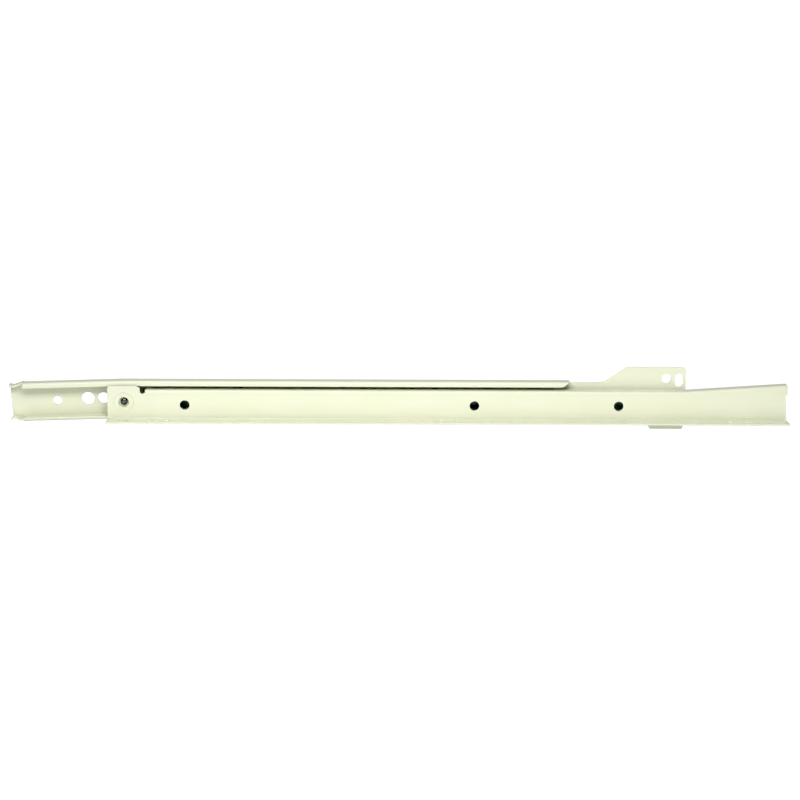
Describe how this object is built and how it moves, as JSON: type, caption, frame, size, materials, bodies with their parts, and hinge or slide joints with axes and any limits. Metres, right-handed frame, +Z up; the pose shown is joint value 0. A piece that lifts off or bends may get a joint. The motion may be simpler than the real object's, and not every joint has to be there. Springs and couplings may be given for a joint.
{
  "type": "roller drawer slide",
  "caption": "Right-hand cream-enamelled roller drawer slide: a wall channel and a drawer rail that rolls in it, with self-closing ramps.",
  "frame": {"origin": "centre of the front screw hole in the cabinet rail's tab, on the plane of the cabinet wall", "axes": "+X along the slide towards the front of the cabinet, the way the drawer opens; -Y from the cabinet wall towards the drawer; +Z up"},
  "size_m": [0.5173, 0.025, 0.0402],
  "materials": {
    "cream_enamel": "smooth cream epoxy powder coat on formed steel sheet",
    "white_nylon": "moulded natural nylon",
    "bearing_steel": "ground and polished bearing steel",
    "plain_steel": "bright zinc-plated steel, peened"
  },
  "bodies": {
    "cabinet": {"cabinet_rail": "cream_enamel", "front_roller_cone": "bearing_steel", "front_roller_rivet": "plain_steel"},
    "drawer": {"drawer_rail": "cream_enamel", "rear_roller_cone": "bearing_steel", "rear_roller_rivet": "plain_steel"},
    "front_roller": {"front_roller_tyre": "white_nylon", "front_roller_race": "bearing_steel"},
    "front_ball_ring": {"front_roller_balls": "bearing_steel"},
    "rear_roller": {"rear_roller_tyre": "white_nylon", "rear_roller_race": "bearing_steel"},
    "rear_ball_ring": {"rear_roller_balls": "bearing_steel"}
  },
  "joints": [
    {"name": "drawer_slide", "type": "slide", "parent": "cabinet", "child": "drawer", "axis": [1, 0, 0], "range_m": [-0.065, 0.275]},
    {"name": "front_roller_spin", "type": "hinge", "parent": "cabinet", "child": "front_roller", "pos_m": [-0.0008, -0.0069, -0.0185], "axis": [0, 1, 0], "continuous": true},
    {"name": "front_balls_orbit", "type": "hinge", "parent": "cabinet", "child": "front_ball_ring", "pos_m": [-0.0008, -0.0069, -0.0185], "axis": [0, 1, 0], "continuous": true},
    {"name": "rear_roller_spin", "type": "hinge", "parent": "drawer", "child": "rear_roller", "pos_m": [-0.361, -0.0056, -0.015], "axis": [0, 1, 0], "continuous": true},
    {"name": "rear_balls_orbit", "type": "hinge", "parent": "drawer", "child": "rear_ball_ring", "pos_m": [-0.361, -0.0056, -0.015], "axis": [0, 1, 0], "continuous": true}
  ],
  "couplings": [
    {"joint": "front_roller_spin", "follows": "drawer_slide", "rad_per_m": 97.561},
    {"joint": "front_balls_orbit", "follows": "drawer_slide", "rad_per_m": 60.976},
    {"joint": "rear_roller_spin", "follows": "drawer_slide", "rad_per_m": 97.561},
    {"joint": "rear_balls_orbit", "follows": "drawer_slide", "rad_per_m": 60.976}
  ]
}
